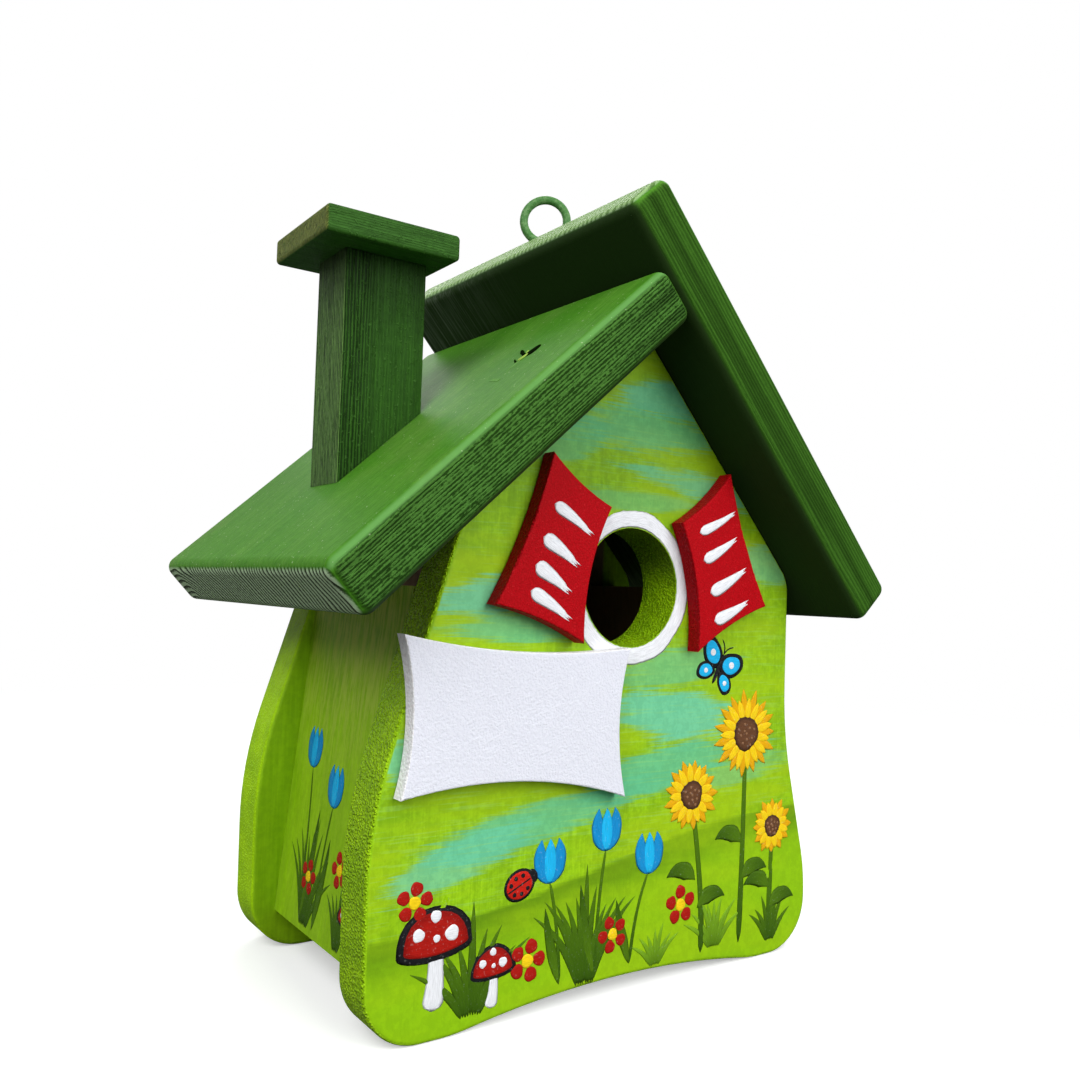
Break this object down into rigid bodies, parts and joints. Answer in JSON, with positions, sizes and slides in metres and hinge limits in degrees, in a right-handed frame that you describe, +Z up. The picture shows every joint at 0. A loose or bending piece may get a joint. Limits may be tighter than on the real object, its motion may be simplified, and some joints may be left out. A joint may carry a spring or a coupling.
{
  "type": "birdhouse",
  "caption": "Wooden birdhouse shaped like a small house with a lopsided butt-jointed roof, chimney, shutters, blank sign, hanging eye and a floor that drops down for cleaning.",
  "frame": {"origin": "on the ground under the middle of the roof, centre of the bounding box's base", "axes": "+X to the right as the entrance is faced, +Y into the house towards its back board, +Z up"},
  "size_m": [0.177, 0.1254, 0.2253],
  "materials": {
    "wall_paint": "lime green paint on sawn wood",
    "roof_paint": "dark green paint on ribbed sawn wood",
    "bare_wood": "unpainted softwood",
    "chimney_paint": "dark green paint on wood",
    "shutter_paint": "speckled red paint with white dashes",
    "sign_paint": "plain white paint, bare of any marking",
    "eye_paint": "green painted steel wire",
    "steel": "steel wire fastener"
  },
  "bodies": {
    "house": {"front_wall": "wall_paint", "back_wall": "wall_paint", "left_side_wall": "wall_paint", "right_side_wall": "wall_paint", "left_roof_board": "roof_paint", "right_roof_board": "roof_paint", "chimney_stack": "chimney_paint", "chimney_cap": "chimney_paint", "chimney_dowel": "bare_wood", "chimney_screw": "steel", "left_shutter": "shutter_paint", "right_shutter": "shutter_paint", "sign_board": "sign_paint", "hanging_eye": "eye_paint", "floor_pivot_nails": "steel", "front_wall_staples": "steel", "back_wall_staples": "steel", "left_roof_staples": "steel", "right_roof_staples": "steel", "ridge_staples": "steel"},
    "floor": {"drop_floor": "bare_wood"}
  },
  "joints": [
    {"name": "floor_hinge", "type": "hinge", "parent": "house", "child": "floor", "pos_m": [0.00564, -0.02275, 0.0185], "axis": [-1, 0, 0], "range_deg": [0, 88]}
  ]
}
